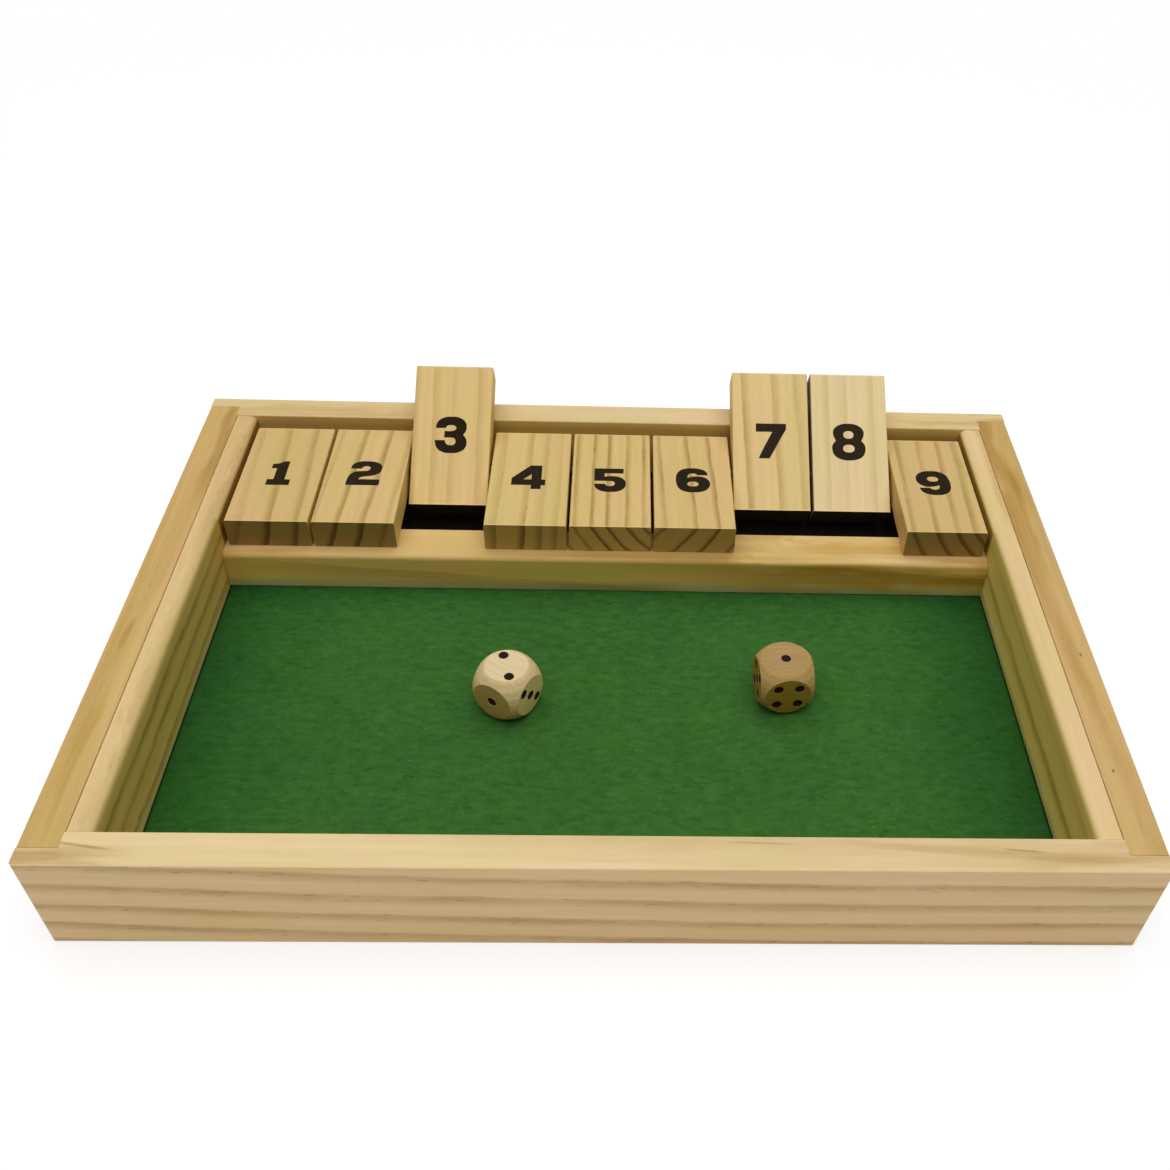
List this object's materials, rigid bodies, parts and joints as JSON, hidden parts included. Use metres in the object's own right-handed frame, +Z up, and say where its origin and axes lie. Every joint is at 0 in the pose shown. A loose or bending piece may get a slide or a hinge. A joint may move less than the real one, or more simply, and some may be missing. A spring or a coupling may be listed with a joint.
{
  "type": "shut the box game",
  "caption": "Pine tray game: hinged number tiles on a rod, resting on a divider or leaning on the back rail, over a felt dice tray with two dice.",
  "frame": {"origin": "middle of the tray on the surface that it rests on", "axes": "+X to the player's right along the row of tiles, +Y away from the player, +Z up"},
  "size_m": [0.28, 0.1998, 0.0497],
  "materials": {
    "rail_pine": "satin clear lacquer",
    "side_rail_pine": "satin clear lacquer",
    "liner_pine": "satin clear lacquer",
    "divider_pine": "satin clear lacquer",
    "tile_pine": "satin clear lacquer",
    "base_panel": "black-faced fibre board, matt",
    "green_felt": "pressed wool felt",
    "rod_steel": "drawn, browned",
    "die_pale": "waxed",
    "die_brown": "waxed",
    "black_ink": "pad-printing ink"
  },
  "bodies": {
    "tray": {"front_rail": "rail_pine", "back_rail": "rail_pine", "left_rail": "side_rail_pine", "right_rail": "side_rail_pine", "base_board": "base_panel", "left_liner": "liner_pine", "right_liner": "liner_pine", "divider_bar": "divider_pine", "felt_lining": "green_felt", "pivot_rod": "rod_steel"},
    "tile_1": {"tile_1": "tile_pine"},
    "tile_2": {"tile_2": "tile_pine"},
    "tile_3": {"tile_3": "tile_pine"},
    "tile_4": {"tile_4": "tile_pine"},
    "tile_5": {"tile_5": "tile_pine"},
    "tile_6": {"tile_6": "tile_pine"},
    "tile_7": {"tile_7": "tile_pine"},
    "tile_8": {"tile_8": "tile_pine"},
    "tile_9": {"tile_9": "tile_pine"},
    "die_left": {"die_left": "die_pale"},
    "die_right": {"die_right": "die_brown"}
  },
  "joints": [
    {"name": "tile_1_flip", "type": "hinge", "parent": "tray", "child": "tile_1", "pos_m": [-0.10862, 0.0682, 0.02709], "axis": [-1, 0, 0], "range_deg": [0, 148.99]},
    {"name": "tile_2_flip", "type": "hinge", "parent": "tray", "child": "tile_2", "pos_m": [-0.08147, 0.0682, 0.02709], "axis": [-1, 0, 0], "range_deg": [0, 148.99]},
    {"name": "tile_3_flip", "type": "hinge", "parent": "tray", "child": "tile_3", "pos_m": [-0.05431, 0.0682, 0.02709], "axis": [-1, 0, 0], "range_deg": [-148.99, 0]},
    {"name": "tile_4_flip", "type": "hinge", "parent": "tray", "child": "tile_4", "pos_m": [-0.02716, 0.0682, 0.02709], "axis": [-1, 0, 0], "range_deg": [0, 148.99]},
    {"name": "tile_5_flip", "type": "hinge", "parent": "tray", "child": "tile_5", "pos_m": [0, 0.0682, 0.02709], "axis": [-1, 0, 0], "range_deg": [0, 148.99]},
    {"name": "tile_6_flip", "type": "hinge", "parent": "tray", "child": "tile_6", "pos_m": [0.02716, 0.0682, 0.02709], "axis": [-1, 0, 0], "range_deg": [0, 148.99]},
    {"name": "tile_7_flip", "type": "hinge", "parent": "tray", "child": "tile_7", "pos_m": [0.05431, 0.0682, 0.02709], "axis": [-1, 0, 0], "range_deg": [-148.99, 0]},
    {"name": "tile_8_flip", "type": "hinge", "parent": "tray", "child": "tile_8", "pos_m": [0.08147, 0.0682, 0.02709], "axis": [-1, 0, 0], "range_deg": [-148.99, 0]},
    {"name": "tile_9_flip", "type": "hinge", "parent": "tray", "child": "tile_9", "pos_m": [0.10862, 0.0682, 0.02709], "axis": [-1, 0, 0], "range_deg": [0, 148.99]},
    {"name": "die_left_lift", "type": "slide", "parent": "tray", "child": "die_left", "axis": [0, 0, 1], "range_m": [0, 0.06]},
    {"name": "die_right_lift", "type": "slide", "parent": "tray", "child": "die_right", "axis": [0, 0, 1], "range_m": [0, 0.06]}
  ]
}
